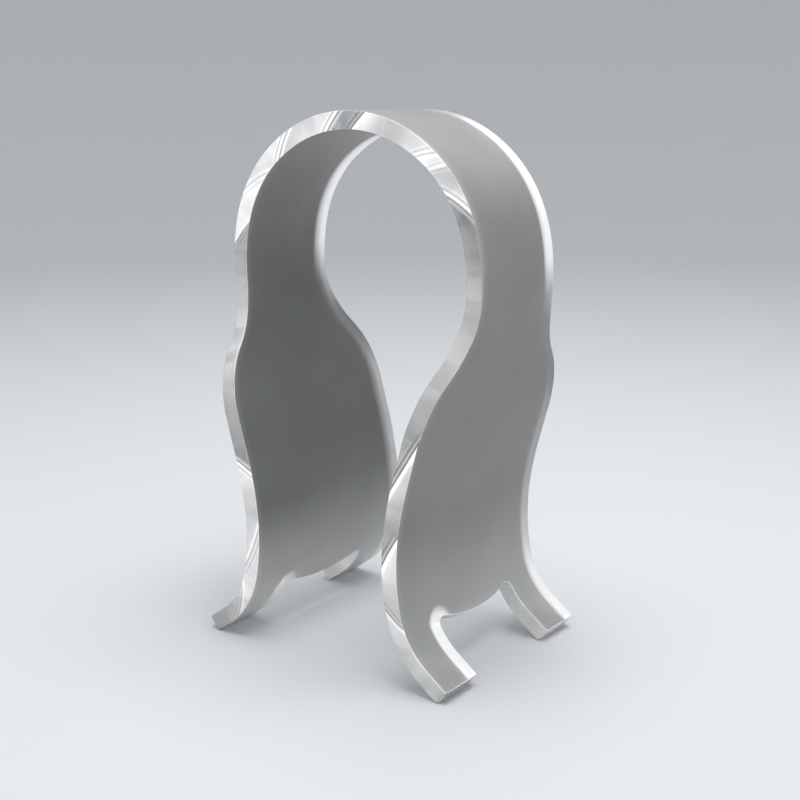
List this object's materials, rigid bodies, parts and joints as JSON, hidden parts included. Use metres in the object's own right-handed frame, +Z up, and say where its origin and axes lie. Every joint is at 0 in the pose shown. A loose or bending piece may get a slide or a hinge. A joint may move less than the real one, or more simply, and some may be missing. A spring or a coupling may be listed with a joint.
{
  "type": "headphone stand",
  "caption": "Headphone stand bent from one thick frosted acrylic sheet into a horseshoe arch: a narrow band on top carries the headband, and two wide legs end in splayed feet.",
  "frame": {"origin": "centre of the footprint, on the surface that the stand rests on", "axes": "+Z up, +X from the left leg to the right leg, +Y from the front edge of the sheet to the rear edge"},
  "size_m": [0.143, 0.108, 0.25],
  "materials": {
    "frosted_acrylic": "colourless acrylic, frosted on both faces and polished clear on every cut edge",
    "clear_silicone": "clear, slightly tacky"
  },
  "bodies": {
    "root": {"acrylic_body": "frosted_acrylic", "front_left_foot_pad": "clear_silicone", "front_right_foot_pad": "clear_silicone", "rear_left_foot_pad": "clear_silicone", "rear_right_foot_pad": "clear_silicone"}
  },
  "joints": []
}
